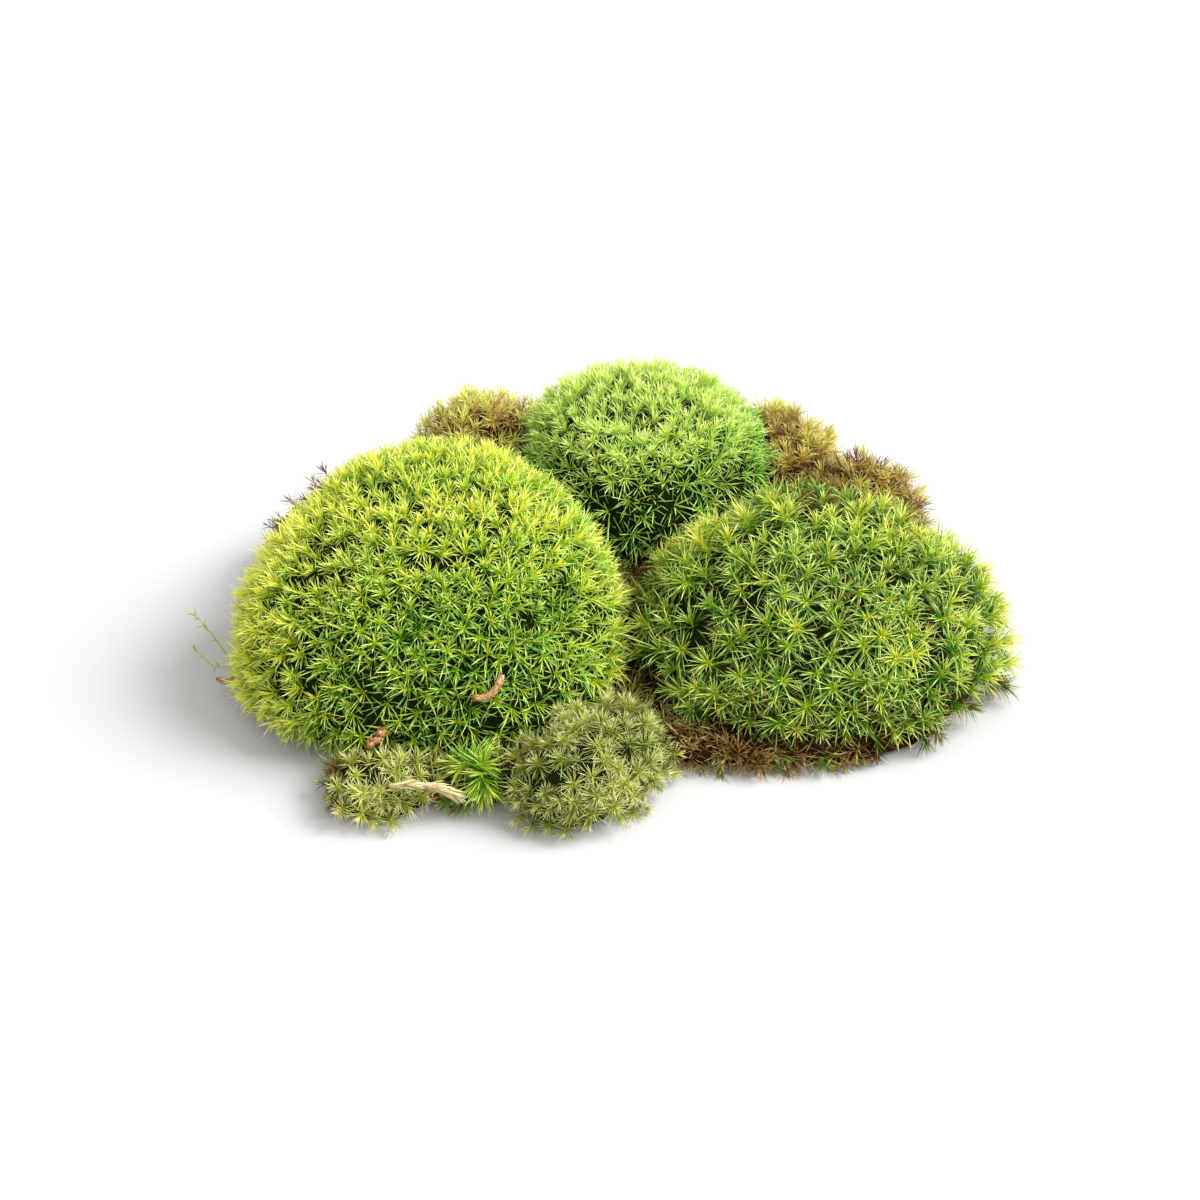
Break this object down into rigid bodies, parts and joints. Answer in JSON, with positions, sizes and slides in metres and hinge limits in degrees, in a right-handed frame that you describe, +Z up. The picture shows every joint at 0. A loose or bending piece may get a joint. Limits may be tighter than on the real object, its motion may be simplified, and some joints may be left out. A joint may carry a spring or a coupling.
{
  "type": "moss clump",
  "caption": "Low clump of plump green cushion moss with smaller pale and brown tufts on a thin brown mat, cut flat below.",
  "frame": {"origin": "on the flat underside, below the middle of the clump's box", "axes": "+Z up from the ground; +X along the clump's longest side, from the tall cushion to the long-leaved one; -Y towards its low front edge with the pale tufts"},
  "size_m": [0.23, 0.1872, 0.0568],
  "materials": {
    "mat": "matte dark brown rootlets and humus",
    "moss_fresh": "soft satin green leaves, yellower at the tips",
    "moss_bright": "soft satin bright green leaves",
    "moss_pale": "matte pale grey-green leaves",
    "moss_old": "dry olive to golden-brown leaves",
    "moss_dead": "dry dark brown leaves",
    "litter_brown": "dry tan to reddish-brown scales",
    "litter_straw": "dry straw-coloured scaly stem",
    "sprig": "thin yellow-green stem with small leaves"
  },
  "bodies": {
    "root": {"base_mat": "mat", "cushion_left": "moss_fresh", "cushion_right": "moss_fresh", "cushion_back": "moss_bright", "tuft_front": "moss_pale", "tuft_front_left": "moss_pale", "tuft_front_middle": "moss_fresh", "tuft_rear_left": "moss_old", "tuft_rear_right": "moss_old", "tuft_far_right": "moss_old", "old_growth_left": "moss_dead", "bark_scale": "litter_brown", "bud_scrap": "litter_brown", "seed_husk": "litter_brown", "dead_stem": "litter_straw", "sprig_upper": "sprig", "sprig_lower": "sprig"}
  },
  "joints": []
}
